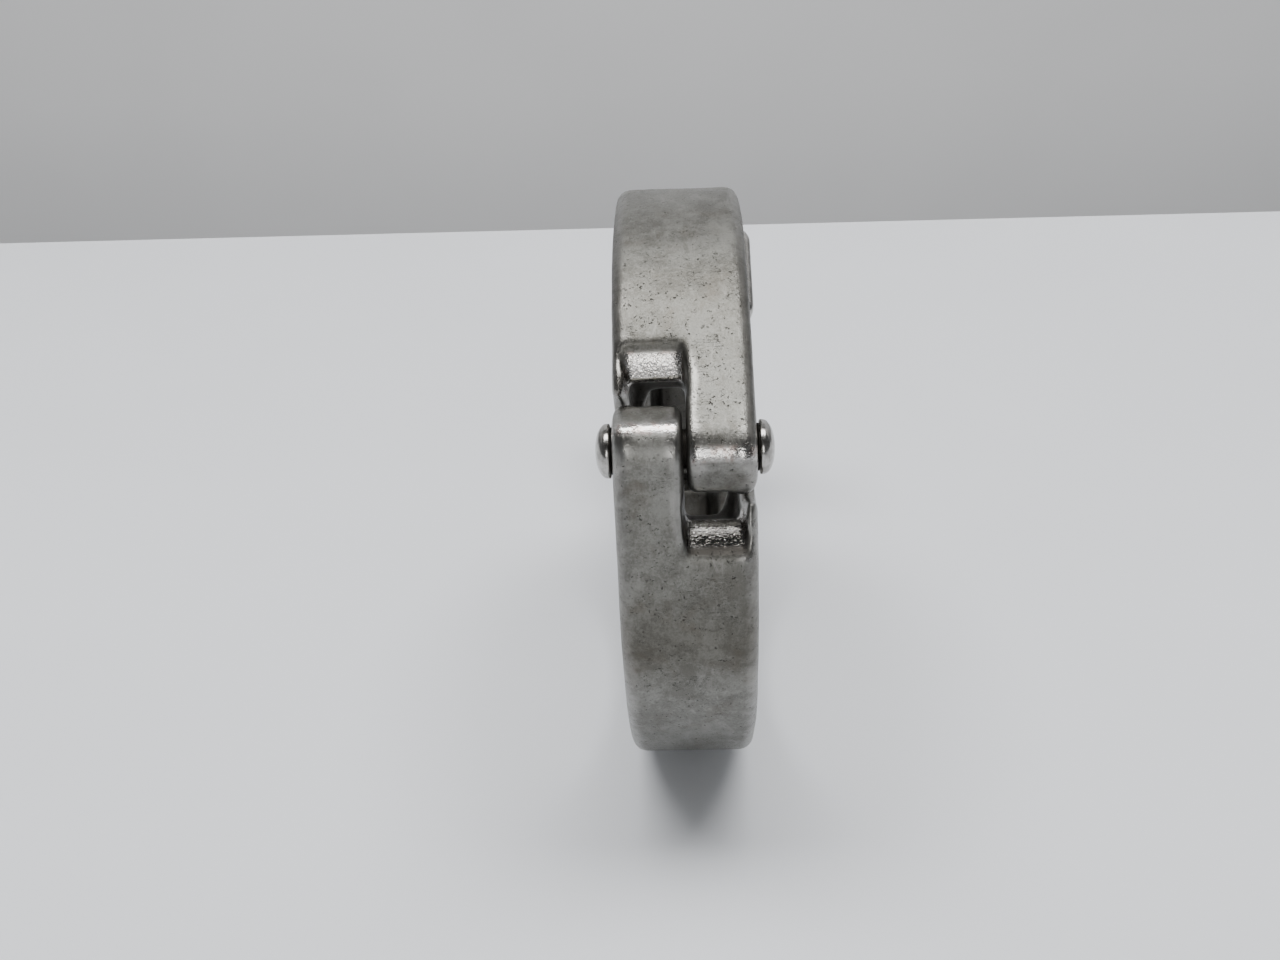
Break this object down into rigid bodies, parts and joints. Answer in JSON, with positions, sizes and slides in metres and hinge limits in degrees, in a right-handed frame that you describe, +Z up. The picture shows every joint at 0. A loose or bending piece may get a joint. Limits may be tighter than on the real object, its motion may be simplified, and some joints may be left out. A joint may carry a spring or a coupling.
{
  "type": "hinged pipe clamp",
  "caption": "Cast stainless ring clamp in hinged halves with an inner wedge groove for pipe ferrules, closed by a swing bolt and wing nut.",
  "frame": {"origin": "centre of the pipe bore, in the ring's middle plane", "axes": "+X along the pipe's axis, -Y towards the hinge, +Z up with the clamp standing on its rim and its clevis ears"},
  "size_m": [0.0258, 0.1192, 0.078],
  "materials": {
    "cast_stainless": "tumbled casting, satin grey",
    "rivet_steel": "smooth, semi-bright",
    "bolt_steel": "turned and rolled, semi-bright",
    "nut_steel": "tumbled casting, polished edges"
  },
  "bodies": {
    "lower_half": {"lower_half": "cast_stainless", "hinge_pin": "rivet_steel", "bolt_pin": "rivet_steel"},
    "upper_half": {"upper_half": "cast_stainless"},
    "swing_bolt": {"swing_bolt": "bolt_steel"},
    "seat_washer": {"seat_washer": "bolt_steel"},
    "wing_nut": {"wing_nut": "nut_steel"}
  },
  "joints": [
    {"name": "jaw_hinge", "type": "hinge", "parent": "lower_half", "child": "upper_half", "pos_m": [0, -0.03121, 0.02024], "axis": [1, 0, 0], "range_deg": [0, 48]},
    {"name": "bolt_swing", "type": "hinge", "parent": "lower_half", "child": "swing_bolt", "pos_m": [0, 0.03361, -0.0318], "axis": [-1, 0, 0], "range_deg": [0, 168]},
    {"name": "nut_travel", "type": "slide", "parent": "swing_bolt", "child": "seat_washer", "axis": [0, 0.7066, 0.7076], "range_m": [-0.0084, 0.006]},
    {"name": "nut_spin", "type": "hinge", "parent": "seat_washer", "child": "wing_nut", "pos_m": [0, 0.03361, -0.0318], "axis": [0, 0.7066, 0.7076], "range_deg": [-2140, 1500]}
  ],
  "couplings": [
    {"joint": "bolt_swing", "follows": "jaw_hinge", "ratio": 3.5},
    {"joint": "nut_travel", "follows": "nut_spin", "m_per_rad": 0.0002246}
  ]
}
